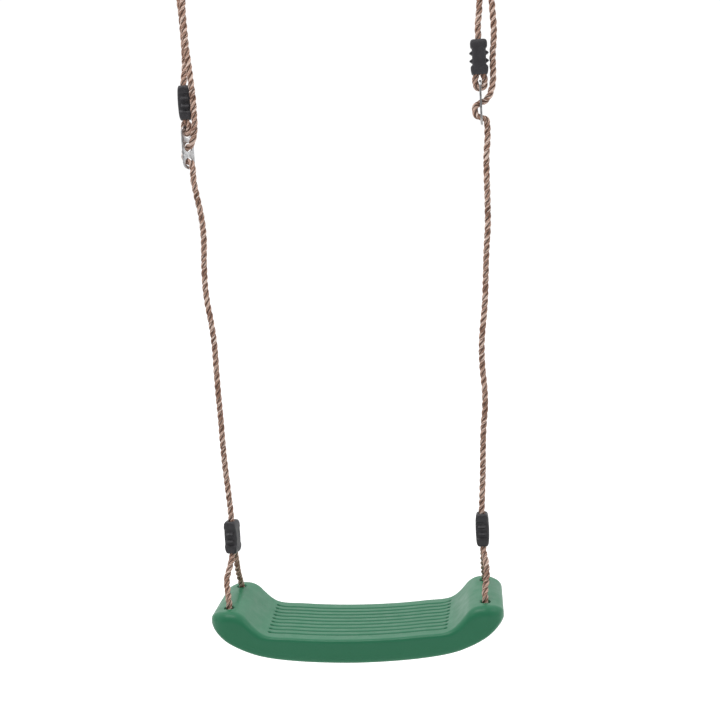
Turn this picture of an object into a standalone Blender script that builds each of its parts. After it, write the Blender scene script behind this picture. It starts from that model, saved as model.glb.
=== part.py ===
"""Moulded swing seat on two twisted ropes, with rope clamps, plate adjusters and hanging rings.

Metres, +Z up. The origin is on the hanging line, above the middle of the seat. +X runs along the
seat from the left rope to the right rope, as seen from in front, and +Y from the front edge to the
back edge.
"""

import math

import bmesh
import bpy
import numpy as np
from mathutils import Matrix, Vector

# Overall
SEAT_TOP_Z = -1.035  # middle of the seat's top, below the hanging line
GAP = 0.0003
ROPE_RADIUS = 0.00475
ROPE_BEVEL_RESOLUTION = 2
ROPE_STEPS = 2  # points to each span of a rope's route
ROUND_STEPS = 16  # sides of a round hole

# Seat
SEAT_HALF_LENGTH = 0.2165
SEAT_HALF_WIDTH = 0.084
SEAT_CORNER_RADIUS = 0.029
SEAT_NOSE_HEIGHT = 0.0270
SEAT_WALL = 0.003
SEAT_TIP = 0.0004  # the loft stops this far before the point where its top and bottom meet
CAVITY_HALF_LENGTH = 0.205
TOP_OUTLINE = (  # distance from the middle, height above the middle of the top
    (0.0, 0.0),
    (0.060, 0.0016),
    (0.100, 0.0046),
    (0.128, 0.0068),
    (0.140, 0.0112),
    (0.150, 0.0192),
    (0.158, 0.0280),
    (0.166, 0.0368),
    (0.176, 0.0424),
    (0.190, 0.0440),
    (0.202, 0.0422),
    (0.2105, 0.0385),
    (0.2150, 0.0340),
    (SEAT_HALF_LENGTH, SEAT_NOSE_HEIGHT),
)
BOTTOM_OUTLINE = (
    (0.0, -0.0365),
    (0.060, -0.0345),
    (0.100, -0.0310),
    (0.130, -0.0265),
    (0.150, -0.0215),
    (0.170, -0.0135),
    (0.185, -0.0055),
    (0.197, 0.0028),
    (0.207, 0.0112),
    (0.2130, 0.0172),
    (0.2158, 0.0218),
    (SEAT_HALF_LENGTH, SEAT_NOSE_HEIGHT),
)
TOP_EDGE_RADIUS_MIDDLE = 0.005
TOP_EDGE_RADIUS_END = 0.014
BOTTOM_EDGE_RADIUS = 0.008
EDGE_BLEND_START = 0.120
EDGE_BLEND_END = 0.170
EDGE_SHARE = 0.42  # an edge's radius is at most this share of the section's height
OUTER_STATIONS = 22
INNER_STATIONS = 14
OUTER_ARC_STEPS = 3
INNER_ARC_STEPS = 2

# Grooves in the seat's top
GROOVE_COUNT = 9
GROOVE_PITCH = 0.0150
GROOVE_WIDTH = 0.0045
GROOVE_DEPTH = 0.0016
GROOVE_HALF_LENGTH = 0.1325
GROOVE_FLARE = 0.037  # each half groove grows this much longer for each metre towards the back
GROOVE_STEPS = 8

# Rope holes and the channels under the ends
HOLE_X = 0.190
HOLE_Y = 0.0526
HOLE_RADIUS = 0.0068
HOLE_MOUTH_RADIUS = 0.0101
HOLE_MOUTH_DEPTH = 0.0035
HOLE_MOUTH_OVERLAP = 0.0010
HOLE_WALL = 0.0028
HOLE_CUTTER_LOW = 0.0
HOLE_CUTTER_HIGH = 0.060
TUBE_CUTTER_LOW = -0.060
CHANNEL_RADIUS = 0.0058
CHANNEL_FLOOR = -0.0024  # the rope's middle, under the end of the seat
CHANNEL_WALL_HEIGHT = 0.040
CUTTER_OVERLAP = 0.002
BLOW_HOLE_RADIUS = 0.004
BLOW_HOLE_LOW = -0.060
BLOW_HOLE_HIGH = -0.020

# Rope clamps
CLAMP_HALF_HEIGHT = 0.0245
CLAMP_HALF_DEPTH = 0.0100
CLAMP_BULGE = 0.0022
CLAMP_HALF_WIDE = 0.030  # past every side of the clamp
RIB_HEIGHT = 0.0055  # of a rib's middle, above and below the clamp's middle
RIB_HALF_WIDTH = 0.0142
RIB_TAPER_START = 0.0095
RIB_HALF_DEPTH = 0.0050
RIB_HALF_THICKNESS = 0.0032
CLAMP_SOCKET_RADIUS = ROPE_RADIUS + 0.0004
CLAMP_SOCKET_DEPTH = 0.008
CLAMP_STRAND_OFFSET = 0.0053
ROPE_IN_CLAMP = 0.0070
ROPE_OUT_OF_CLAMP = 0.0020
LOWER_CLAMP_HEIGHT = 0.1385  # above the seat's top
LOWER_CLAMP_X = {"left": -0.1885, "right": 0.1900}
LOWER_CLAMP_TURN = {"left": math.radians(78.0), "right": math.radians(88.0)}

# Adjuster plate and the rope through it, from the plate's middle hole
PLATE_THICKNESS = 0.003
PLATE_HALF_WIDTH = 0.0105
PLATE_HALF_LENGTH = 0.032
PLATE_HOLE_RADIUS = 0.0066
PLATE_HOLES = (0.020, 0.0, -0.021)
UPPER_CLAMP_OFFSET = 0.064
ADJUSTER_X = {"left": -0.2155, "right": 0.2132}
ADJUSTER_HEIGHT = {"left": 0.724, "right": 0.763}  # above the seat's top
ADJUSTER_TURN = {"left": math.radians(-38.0), "right": 0.0}
UPPER_CLAMP_TWIST = {"left": math.radians(-40.0), "right": 0.0}  # against the plate
TWIST_START = 0.0300  # above the plate's middle
TWIST_END = 0.0395
WEAVE_TOP = 0.044
WEAVE_TOP_OFFSET = 0.0191
WEAVE_BOTTOM = -0.041
WEAVE_BOTTOM_OFFSET = 0.0077
WEAVE_LEAD = 0.0080

# Hanging rings
RING_RADIUS = 0.025
RING_BAR_RADIUS = 0.003
RING_X = {"left": -0.211, "right": 0.226}
BIGHT_RADIUS = ROPE_RADIUS + RING_BAR_RADIUS + GAP
BIGHT_STEPS = 6

PARTS = "swing_seat_on_ropes"
CUTTERS = "cutters"


def clear_scene():
    for item in list(bpy.data.objects):
        bpy.data.objects.remove(item, do_unlink=True)


def collection(name):
    made = bpy.data.collections.new(name)
    bpy.context.scene.collection.children.link(made)
    return made


def material(name, colour, roughness, metallic=0.0):
    made = bpy.data.materials.new(name)
    made.use_nodes = True
    shader = made.node_tree.nodes["Principled BSDF"]
    shader.inputs["Base Color"].default_value = (*colour, 1.0)
    shader.inputs["Roughness"].default_value = roughness
    shader.inputs["Metallic"].default_value = metallic
    return made


def add_object(name, data, group, surface=None):
    made = bpy.data.objects.new(name, data)
    bpy.data.collections[group].objects.link(made)
    if surface is not None:
        made.data.materials.clear()
        made.data.materials.append(surface)
    if group == CUTTERS:
        made.hide_render = True
        made.display_type = "WIRE"
    return made


def add_boolean(target, cutter, operation="DIFFERENCE"):
    step = target.modifiers.new(operation.lower(), "BOOLEAN")
    step.operation = operation
    step.solver = "EXACT"
    step.object = cutter


def mesh_from(source, name):
    """The evaluated shape of an object as a new welded mesh, in the object's own space."""
    bpy.context.view_layer.update()
    graph = bpy.context.evaluated_depsgraph_get()
    mesh = bpy.data.meshes.new_from_object(source.evaluated_get(graph))
    mesh.name = name
    shape = bmesh.new()
    shape.from_mesh(mesh)
    bmesh.ops.remove_doubles(shape, verts=shape.verts, dist=1e-6)
    shape.to_mesh(mesh)
    shape.free()
    return mesh


def smooth_route(points, per_span):
    """Points along the centripetal Catmull-Rom curve through the given points."""
    knots = [Vector(p) for p in points]
    before = knots[0] * 2 - knots[1]
    after = knots[-1] * 2 - knots[-2]
    knots = [before, *knots, after]
    route = []
    for i in range(1, len(knots) - 2):
        p0, p1, p2, p3 = knots[i - 1 : i + 3]
        t1 = math.sqrt((p1 - p0).length)
        t2 = t1 + math.sqrt((p2 - p1).length)
        t3 = t2 + math.sqrt((p3 - p2).length)
        for step in range(per_span):
            t = t1 + (t2 - t1) * step / per_span
            a1 = p0 * ((t1 - t) / t1) + p1 * (t / t1)
            a2 = p1 * ((t2 - t) / (t2 - t1)) + p2 * ((t - t1) / (t2 - t1))
            a3 = p2 * ((t3 - t) / (t3 - t2)) + p3 * ((t - t2) / (t3 - t2))
            b1 = a1 * ((t2 - t) / t2) + a2 * (t / t2)
            b2 = a2 * ((t3 - t) / (t3 - t1)) + a3 * ((t - t1) / (t3 - t1))
            route.append(b1 * ((t2 - t) / (t2 - t1)) + b2 * ((t - t1) / (t2 - t1)))
    route.append(knots[-2])
    return route


def rope_curve(name, route, radius=ROPE_RADIUS):
    curve = bpy.data.curves.new(name, "CURVE")
    curve.dimensions = "3D"
    curve.bevel_depth = radius
    curve.bevel_resolution = ROPE_BEVEL_RESOLUTION
    curve.use_fill_caps = True
    line = curve.splines.new("POLY")
    line.points.add(len(route) - 1)
    for point, place in zip(line.points, route):
        point.co = (*place, 1.0)
    return curve


def add_rope(name, points, surface, parent=None):
    curve = rope_curve(name, smooth_route(points, ROPE_STEPS))
    made = add_object(name, curve, PARTS, surface)
    made.parent = parent
    return made


def flat_curve(name, outlines, thickness):
    """A flat shape in the XY plane, extruded along Z; inner outlines are holes."""
    curve = bpy.data.curves.new(name, "CURVE")
    curve.dimensions = "2D"
    curve.fill_mode = "BOTH"
    curve.extrude = thickness / 2
    for outline in outlines:
        line = curve.splines.new("POLY")
        line.points.add(len(outline) - 1)
        line.use_cyclic_u = True
        for point, place in zip(line.points, outline):
            point.co = (*place, 0.0, 1.0)
    return curve


def circle(x, y, radius, steps):
    turns = [2 * math.pi * i / steps for i in range(steps)]
    return [(x + radius * math.cos(a), y + radius * math.sin(a)) for a in turns]


# Seat


def outline_curve(points):
    """A dense smooth copy of a half outline, level in the middle, as arrays of distance and height."""
    mirrored = [(-points[1][0], points[1][1]), *points]
    steps = 12
    route = smooth_route([(x, z, 0.0) for x, z in mirrored], steps)[steps:]
    return np.array([p.x for p in route]), np.array([p.y for p in route])


TOP_CURVE = outline_curve(TOP_OUTLINE)
BOTTOM_CURVE = outline_curve(BOTTOM_OUTLINE)


def outline_height(x, curve, inset):
    """The height of an outline at x, set in by the same amount square to the surface."""
    inward = 1.0 if curve is BOTTOM_CURVE else -1.0
    heights = []
    for lean in np.linspace(-math.pi / 2, math.pi / 2, 7):
        reach = min(abs(x + inset * math.sin(lean)), SEAT_HALF_LENGTH)
        heights.append(float(np.interp(reach, *curve)) + inward * inset * math.cos(lean))
    return max(heights) if curve is BOTTOM_CURVE else min(heights)


def ease(value, start, end):
    share = min(1.0, max(0.0, (value - start) / (end - start)))
    return share * share * (3 - 2 * share)


def seat_section(x, inset, arc_steps):
    """One rounded section of the seat at x, as points round the X axis."""
    reach = min(abs(x) + inset, SEAT_HALF_LENGTH)
    top = outline_height(x, TOP_CURVE, inset)
    bottom = outline_height(x, BOTTOM_CURVE, inset)
    corner_start = SEAT_HALF_LENGTH - SEAT_CORNER_RADIUS
    bite = SEAT_CORNER_RADIUS - math.sqrt(SEAT_CORNER_RADIUS**2 - max(0.0, reach - corner_start) ** 2)
    half_width = SEAT_HALF_WIDTH - bite - inset
    share = ease(reach, EDGE_BLEND_START, EDGE_BLEND_END)
    top_radius = TOP_EDGE_RADIUS_MIDDLE + share * (TOP_EDGE_RADIUS_END - TOP_EDGE_RADIUS_MIDDLE)
    limit = EDGE_SHARE * (top - bottom)
    top_radius = min(top_radius, limit)
    bottom_radius = min(BOTTOM_EDGE_RADIUS, limit)
    corners = (
        (half_width, top, top_radius, 0),
        (-half_width, top, top_radius, 1),
        (-half_width, bottom, bottom_radius, 2),
        (half_width, bottom, bottom_radius, 3),
    )
    points = []
    for y, z, radius, quarter in corners:
        centre_y = y - math.copysign(radius, y)
        centre_z = z - radius if quarter < 2 else z + radius
        for step in range(arc_steps + 1):
            angle = math.pi / 2 * (quarter + step / arc_steps)
            y_out = centre_y + radius * math.cos(angle)
            z_out = centre_z + radius * math.sin(angle)
            points.append((x, y_out, z_out))
    return points


def seat_body(name, half, inset, stations, arc_steps):
    """A loft along X of rounded sections, closer together towards the curved ends."""
    places = [half * math.sin(math.pi / 2 * i / stations) for i in range(-stations, stations + 1)]
    shape = bmesh.new()
    rings = []
    for x in places:
        rings.append([shape.verts.new(p) for p in seat_section(x, inset, arc_steps)])
    count = len(rings[0])
    for first, second in zip(rings, rings[1:]):
        for i in range(count):
            j = (i + 1) % count
            shape.faces.new((first[i], first[j], second[j], second[i]))
    shape.faces.new(rings[0])
    shape.faces.new(rings[-1])
    bmesh.ops.recalc_face_normals(shape, faces=shape.faces)
    mesh = bpy.data.meshes.new(name)
    shape.to_mesh(mesh)
    shape.free()
    return mesh


def groove_cutters():
    """One long thin cutter for each groove, all in one mesh, following the seat's top."""
    shape = bmesh.new()
    for i in range(GROOVE_COUNT):
        y = (i - (GROOVE_COUNT - 1) / 2) * GROOVE_PITCH
        reach = GROOVE_HALF_LENGTH + GROOVE_FLARE * y
        places = [reach * step / GROOVE_STEPS for step in range(-GROOVE_STEPS, GROOVE_STEPS + 1)]
        floor = [(x, float(np.interp(abs(x), *TOP_CURVE)) - GROOVE_DEPTH) for x in places]
        lid = [(x, z + 4 * GROOVE_DEPTH) for x, z in reversed(floor)]
        strip = [shape.verts.new((x, y - GROOVE_WIDTH / 2, z)) for x, z in floor + lid]
        face = shape.faces.new(strip)
        extruded = bmesh.ops.extrude_face_region(shape, geom=[face])
        moved = [item for item in extruded["geom"] if isinstance(item, bmesh.types.BMVert)]
        bmesh.ops.translate(shape, verts=moved, vec=(0.0, GROOVE_WIDTH, 0.0))
    bmesh.ops.recalc_face_normals(shape, faces=shape.faces)
    mesh = bpy.data.meshes.new("grooves")
    shape.to_mesh(mesh)
    shape.free()
    return add_object("groove_cutters", mesh, CUTTERS)


def cone_cutter(name, x, y, low, high, low_radius, high_radius):
    """An upright round cutter between two heights."""
    shape = bmesh.new()
    bmesh.ops.create_cone(
        shape,
        cap_ends=True,
        segments=ROUND_STEPS,
        radius1=low_radius,
        radius2=high_radius,
        depth=high - low,
        matrix=Matrix.Translation((x, y, (low + high) / 2)),
    )
    mesh = bpy.data.meshes.new(name)
    shape.to_mesh(mesh)
    shape.free()
    return add_object(name, mesh, CUTTERS)


def mouth_cutter(x, y, top):
    """A funnel that opens the top end of a rope hole, running a little proud of the seat."""
    slope = (HOLE_MOUTH_RADIUS - HOLE_RADIUS) / HOLE_MOUTH_DEPTH
    low = top - HOLE_MOUTH_DEPTH - HOLE_MOUTH_OVERLAP
    high = top + CUTTER_OVERLAP
    low_radius = HOLE_RADIUS - slope * HOLE_MOUTH_OVERLAP
    high_radius = HOLE_MOUTH_RADIUS + slope * CUTTER_OVERLAP
    return cone_cutter("hole_mouth", x, y, low, high, low_radius, high_radius)


STRAND_POINTS = 8  # route points of a bridle above the seat, at each end


def bridle_points(side):
    """The rope under one end of the seat: clamp, front hole, channel, back hole, clamp.

    Heights are above the seat's top."""
    x = LOWER_CLAMP_X[side]
    turn = LOWER_CLAMP_TURN[side]
    across = CLAMP_STRAND_OFFSET * math.cos(turn)
    along = CLAMP_STRAND_OFFSET * math.sin(turn)
    socket = LOWER_CLAMP_HEIGHT - CLAMP_HALF_HEIGHT
    front = {
        "left": (
            (-0.1917, -0.0170, 0.0970),
            (-0.1958, -0.0275, 0.0800),
            (-0.1932, -0.0400, 0.0635),
            (-0.1902, -0.0505, 0.0490),
        ),
        "right": (
            (0.1928, -0.0190, 0.0960),
            (0.1936, -0.0310, 0.0770),
            (0.1902, -0.0440, 0.0590),
            (0.1898, -0.0512, 0.0480),
        ),
    }[side]
    back = {
        "left": (
            (-0.1886, 0.0180, 0.0950),
            (-0.1900, 0.0320, 0.0745),
            (-0.1902, 0.0450, 0.0570),
            (-0.1900, 0.0510, 0.0480),
        ),
        "right": (
            (0.1895, 0.0180, 0.0950),
            (0.1893, 0.0320, 0.0745),
            (0.1897, 0.0450, 0.0570),
            (0.1900, 0.0510, 0.0480),
        ),
    }[side]
    hole_x = math.copysign(HOLE_X, x)
    half_loop = (
        (HOLE_Y, 0.0380),
        (HOLE_Y + 0.0003, 0.0250),
        (HOLE_Y, 0.0120),
        (HOLE_Y - 0.0012, 0.0050),
        (HOLE_Y - 0.0050, -0.0002),
        (HOLE_Y - 0.0110, -0.0020),
        (HOLE_Y - 0.0300, CHANNEL_FLOOR),
    )
    under_front = [(hole_x, -y, h) for y, h in half_loop]
    under_back = [(hole_x, y, h) for y, h in reversed(half_loop)]
    strand = ((1.0, 0.0070), (1.0, 0.0010), (1.18, -0.0050))
    start = [(x - across * share, -along * share, socket + h) for share, h in strand]
    end = [(x + across * share, along * share, socket + h) for share, h in reversed(strand)]
    middle = (hole_x, 0.0, CHANNEL_FLOOR)
    route = [*start, *front, *under_front, middle, *under_back, *reversed(back), *end]
    return [(px, py, h + SEAT_TOP_Z) for px, py, h in route]


def seat_cavity():
    """The hollow of the blow-moulded seat, less the tubes round the holes and the channels."""
    hollow = seat_body("cavity", CAVITY_HALF_LENGTH, SEAT_WALL, INNER_STATIONS, INNER_ARC_STEPS)
    cavity = add_object("cavity", hollow, CUTTERS)
    tube = HOLE_RADIUS + HOLE_WALL
    for x in (-HOLE_X, HOLE_X):
        for y in (-HOLE_Y, HOLE_Y):
            post = cone_cutter("hole_tube", x, y, TUBE_CUTTER_LOW, HOLE_CUTTER_HIGH, tube, tube)
            add_boolean(cavity, post)
        shape = bmesh.new()
        bmesh.ops.create_cube(shape, size=1.0)
        width = 2 * (CHANNEL_RADIUS + HOLE_WALL)
        bmesh.ops.scale(shape, vec=(width, 2 * HOLE_Y, CHANNEL_WALL_HEIGHT), verts=shape.verts)
        middle = CHANNEL_FLOOR + CHANNEL_RADIUS + HOLE_WALL - CHANNEL_WALL_HEIGHT / 2
        bmesh.ops.translate(shape, vec=(x, 0.0, middle), verts=shape.verts)
        mesh = bpy.data.meshes.new("channel_wall")
        shape.to_mesh(mesh)
        shape.free()
        add_boolean(cavity, add_object("channel_wall", mesh, CUTTERS))
    return cavity


def add_seat(plastic):
    body = seat_body("seat_shell", SEAT_HALF_LENGTH - SEAT_TIP, 0.0, OUTER_STATIONS, OUTER_ARC_STEPS)
    seat = add_object("seat_shell", body, PARTS, plastic)
    add_boolean(seat, seat_cavity())
    add_boolean(seat, groove_cutters())
    top = float(np.interp(HOLE_X, *TOP_CURVE))
    for side, x in (("left", -HOLE_X), ("right", HOLE_X)):
        for y in (-HOLE_Y, HOLE_Y):
            hole = cone_cutter("rope_hole", x, y, HOLE_CUTTER_LOW, HOLE_CUTTER_HIGH, HOLE_RADIUS, HOLE_RADIUS)
            add_boolean(seat, hole)
            add_boolean(seat, mouth_cutter(x, y, top))
        route = smooth_route(bridle_points(side)[STRAND_POINTS:-STRAND_POINTS], ROPE_STEPS)
        local = [p - Vector((0.0, 0.0, SEAT_TOP_Z)) for p in route]
        curve = add_object("channel_line", rope_curve("channel_line", local, CHANNEL_RADIUS), CUTTERS)
        channel = add_object("channel", mesh_from(curve, "channel"), CUTTERS)
        bpy.data.objects.remove(curve)
        add_boolean(seat, channel)
    radius = BLOW_HOLE_RADIUS
    add_boolean(seat, cone_cutter("blow_hole", 0.0, 0.0, BLOW_HOLE_LOW, BLOW_HOLE_HIGH, radius, radius))
    for cutter in bpy.data.collections[CUTTERS].objects:
        cutter.parent = seat
    seat.location = (0.0, 0.0, SEAT_TOP_Z)
    seat.data.shade_smooth()
    return seat


# Clamps, plates and rings


def rib_block(height, upright):
    """One rib through the clamp from side to side, tapered at both ends."""
    low = height - RIB_HALF_THICKNESS
    high = height + RIB_HALF_THICKNESS
    outline = (
        (RIB_HALF_WIDTH, height),
        (RIB_TAPER_START, high),
        (-RIB_TAPER_START, high),
        (-RIB_HALF_WIDTH, height),
        (-RIB_TAPER_START, low),
        (RIB_TAPER_START, low),
    )
    return add_object("clamp_rib", mesh_from_flat([outline], 2 * RIB_HALF_DEPTH, upright), CUTTERS)


CLAMP_PLAN = (
    (0.0150, 0.0036),
    (0.0090, 0.0103),
    (-0.0090, 0.0103),
    (-0.0150, 0.0036),
    (-0.0150, -0.0036),
    (-0.0090, -0.0103),
    (0.0090, -0.0103),
    (0.0150, -0.0036),
)


def clamp_mesh():
    """A sleeve: a front outline crossed with a barrel side and an eight-sided plan, and two ribs."""
    half_outline = (
        (0.0112, -0.0245),
        (0.0121, -0.0215),
        (0.0126, -0.0165),
        (0.0124, -0.0130),
        (0.0100, -0.0112),
        (0.0100, 0.0125),
        (0.0122, 0.0150),
        (0.0122, 0.0225),
        (0.0108, 0.0245),
    )
    outline = [*half_outline, *((-x, z) for x, z in reversed(half_outline))]
    heights = np.linspace(-CLAMP_HALF_WIDE, CLAMP_HALF_WIDE, 9)
    barrel = [(CLAMP_HALF_DEPTH - CLAMP_BULGE * (z / CLAMP_HALF_HEIGHT) ** 2, z) for z in heights]
    side = [*barrel, *((-y, z) for y, z in reversed(barrel))]
    upright = Matrix.Rotation(math.pi / 2, 4, "X")
    front = add_object("clamp_front", mesh_from_flat([outline], 2 * CLAMP_HALF_WIDE, upright), CUTTERS)
    turned = Matrix.Rotation(math.pi / 2, 4, "Z") @ upright
    depth = add_object("clamp_side", mesh_from_flat([side], 2 * CLAMP_HALF_WIDE, turned), CUTTERS)
    plan = add_object("clamp_plan", mesh_from_flat([CLAMP_PLAN], 2 * CLAMP_HALF_WIDE, Matrix()), CUTTERS)
    add_boolean(depth, plan, "INTERSECT")
    add_boolean(front, depth, "INTERSECT")
    for height in (-RIB_HEIGHT, RIB_HEIGHT):
        add_boolean(front, rib_block(height, upright), "UNION")
    ends = CLAMP_HALF_HEIGHT - CLAMP_SOCKET_DEPTH
    outside = CLAMP_HALF_HEIGHT + CUTTER_OVERLAP
    sockets = (
        (0.0, ends, outside),
        (-CLAMP_STRAND_OFFSET, -outside, -ends),
        (CLAMP_STRAND_OFFSET, -outside, -ends),
    )
    radius = CLAMP_SOCKET_RADIUS
    for x, low, high in sockets:
        add_boolean(front, cone_cutter("socket", x, 0.0, low, high, radius, radius))
    return mesh_from(front, "rope_clamp")


def mesh_from_flat(outlines, thickness, turn):
    """A flat shape with its holes as a mesh, turned from the XY plane."""
    curve = add_object("outline", flat_curve("outline", outlines, thickness), CUTTERS)
    mesh = mesh_from(curve, "outline")
    mesh.transform(turn)
    bpy.data.objects.remove(curve)
    return mesh


def plate_mesh():
    """A flat bar with round ends and three rope holes, standing in the YZ plane."""
    straight = PLATE_HALF_LENGTH - PLATE_HALF_WIDTH
    turns = np.linspace(0.0, math.pi, 11)
    top = [(PLATE_HALF_WIDTH * math.cos(a), straight + PLATE_HALF_WIDTH * math.sin(a)) for a in turns]
    bottom = [(-x, -y) for x, y in top]
    holes = [circle(0.0, height, PLATE_HOLE_RADIUS, ROUND_STEPS) for height in PLATE_HOLES]
    upright = Matrix.Rotation(math.pi / 2, 4, "Z") @ Matrix.Rotation(math.pi / 2, 4, "X")
    return mesh_from_flat([top + bottom, *holes], PLATE_THICKNESS, upright)


WEAVE_POINTS = (
    (WEAVE_TOP_OFFSET, 0.0, WEAVE_TOP),
    (0.0189, 0.0, 0.0360),
    (0.0180, 0.0, 0.0270),
    (0.0158, 0.0, 0.0175),
    (0.0118, 0.0, 0.0085),
    (0.0062, 0.0, 0.0026),
    (0.0, 0.0, 0.0),
    (-0.0058, 0.0, -0.0026),
    (-0.0092, 0.0, -0.0105),
    (-0.0058, 0.0, -0.0184),
    (0.0, 0.0, -0.0210),
    (0.0048, 0.0, -0.0224),
    (0.0074, 0.0, -0.0268),
    (0.0079, 0.0, -0.0335),
    (WEAVE_BOTTOM_OFFSET, 0.0, WEAVE_BOTTOM),
)
EYE_POINTS = (
    (-CLAMP_STRAND_OFFSET, 0.0, 0.0465),
    (-CLAMP_STRAND_OFFSET, 0.0, 0.0395),
    (-0.0064, 0.0, 0.0340),
    (-0.0067, 0.0, 0.0275),
    (-0.0048, 0.0, 0.0223),
    (0.0, 0.0, 0.0200),
    (0.0048, 0.0, 0.0223),
    (0.0067, 0.0, 0.0275),
    (0.0064, 0.0, 0.0340),
    (CLAMP_STRAND_OFFSET, 0.0, 0.0395),
    (CLAMP_STRAND_OFFSET, 0.0, 0.0465),
)


def eye_points(side):
    """The rope eye through the plate's top hole, turned to meet the upper clamp."""
    points = []
    for point in EYE_POINTS:
        turn = UPPER_CLAMP_TWIST[side] * ease(point[2], TWIST_START, TWIST_END)
        points.append(Matrix.Rotation(turn, 3, "Z") @ Vector(point))
    return points


def adjuster_place(side, point):
    """A point of the adjuster's own frame in the part's frame."""
    centre = Vector((ADJUSTER_X[side], 0.0, ADJUSTER_HEIGHT[side] + SEAT_TOP_Z))
    return centre + Matrix.Rotation(ADJUSTER_TURN[side], 3, "Z") @ Vector(point)


def add_adjuster(side, clamp, plate, surfaces):
    """The plate, the rope woven through it, the rope eye on its top hole and the upper clamp."""
    frame = bpy.data.objects.new(f"{side}_adjuster", None)
    bpy.data.collections[PARTS].objects.link(frame)
    frame.location = adjuster_place(side, (0.0, 0.0, 0.0))
    frame.rotation_euler = (0.0, 0.0, ADJUSTER_TURN[side])
    bar = add_object(f"{side}_adjuster_plate", plate, PARTS, surfaces["steel"])
    bar.parent = frame
    sleeve = add_object(f"{side}_upper_clamp", clamp, PARTS, surfaces["clamp"])
    sleeve.parent = frame
    sleeve.location = (0.0, 0.0, UPPER_CLAMP_OFFSET)
    sleeve.rotation_euler = (0.0, 0.0, UPPER_CLAMP_TWIST[side])
    add_rope(f"{side}_adjuster_weave", WEAVE_POINTS, surfaces["rope"], frame)
    add_rope(f"{side}_adjuster_eye", eye_points(side), surfaces["rope"], frame)


def add_lower_clamp(side, clamp, surface):
    sleeve = add_object(f"{side}_lower_clamp", clamp, PARTS, surface)
    sleeve.location = (LOWER_CLAMP_X[side], 0.0, LOWER_CLAMP_HEIGHT + SEAT_TOP_Z)
    sleeve.rotation_euler = (0.0, 0.0, LOWER_CLAMP_TURN[side])


def add_ring(side, surface):
    bpy.ops.mesh.primitive_torus_add(
        major_segments=28,
        minor_segments=10,
        major_radius=RING_RADIUS,
        minor_radius=RING_BAR_RADIUS,
        rotation=(0.0, math.pi / 2, 0.0),
        location=(RING_X[side], 0.0, 0.0),
    )
    ring = bpy.context.object
    ring.name = f"{side}_hanging_ring"
    ring.data.materials.append(surface)
    ring.data.shade_smooth()
    for group in list(ring.users_collection):
        group.objects.unlink(ring)
    bpy.data.collections[PARTS].objects.link(ring)


# Ropes between the fittings


def top_loop_points(side):
    """Up from the clamp, over the ring's bar and down to the plate.

    Heights in the two legs are above the seat's top."""
    x = RING_X[side]
    bight = []
    for angle in np.linspace(math.pi, 0.0, BIGHT_STEPS + 1):
        height = BIGHT_RADIUS * math.sin(angle) - RING_RADIUS
        bight.append((x + BIGHT_RADIUS * math.cos(angle), 0.0, height))
    legs = {
        "left": (
            (
                (-0.2130, 0.0050, 0.8380),
                (-0.2122, 0.0068, 0.8640),
                (-0.2126, 0.0078, 0.8900),
                (-0.2134, 0.0083, 0.9160),
                (-0.2157, 0.0083, 0.9440),
                (-0.2184, 0.0058, 0.9720),
                (-0.2194, 0.0015, 0.9950),
            ),
            (
                (-0.2026, -0.0015, 0.9950),
                (-0.2036, -0.0058, 0.9720),
                (-0.2060, -0.0083, 0.9440),
                (-0.2073, -0.0090, 0.9160),
                (-0.2066, -0.0098, 0.8900),
                (-0.2056, -0.0110, 0.8640),
                (-0.2033, -0.0122, 0.8380),
                (-0.2014, -0.0124, 0.8100),
                (-0.2005, -0.0118, 0.7900),
            ),
        ),
        "right": (
            (
                (0.2134, 0.0, 0.8720),
                (0.2160, 0.0, 0.8920),
                (0.2172, 0.0, 0.9150),
                (0.2177, 0.0, 0.9500),
                (0.2177, 0.0, 0.9850),
            ),
            (
                (0.2343, 0.0, 0.9850),
                (0.2341, 0.0, 0.9500),
                (0.2340, 0.0, 0.9150),
                (0.2346, 0.0, 0.8920),
                (0.2356, 0.0, 0.8700),
                (0.2347, 0.0, 0.8490),
                (0.2327, 0.0, 0.8300),
            ),
        ),
    }[side]
    clamp_top = UPPER_CLAMP_OFFSET + CLAMP_HALF_HEIGHT
    start = [
        adjuster_place(side, (0.0, 0.0, clamp_top - ROPE_IN_CLAMP)),
        adjuster_place(side, (0.0, 0.0, clamp_top + ROPE_OUT_OF_CLAMP)),
    ]
    end = [
        adjuster_place(side, (WEAVE_TOP_OFFSET, 0.0, WEAVE_TOP + WEAVE_LEAD)),
        adjuster_place(side, (WEAVE_TOP_OFFSET, 0.0, WEAVE_TOP + 2 * GAP)),
    ]
    up, down = ([(px, py, h + SEAT_TOP_Z) for px, py, h in leg] for leg in legs)
    return [*start, *up, *bight, *down, *end]


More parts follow.
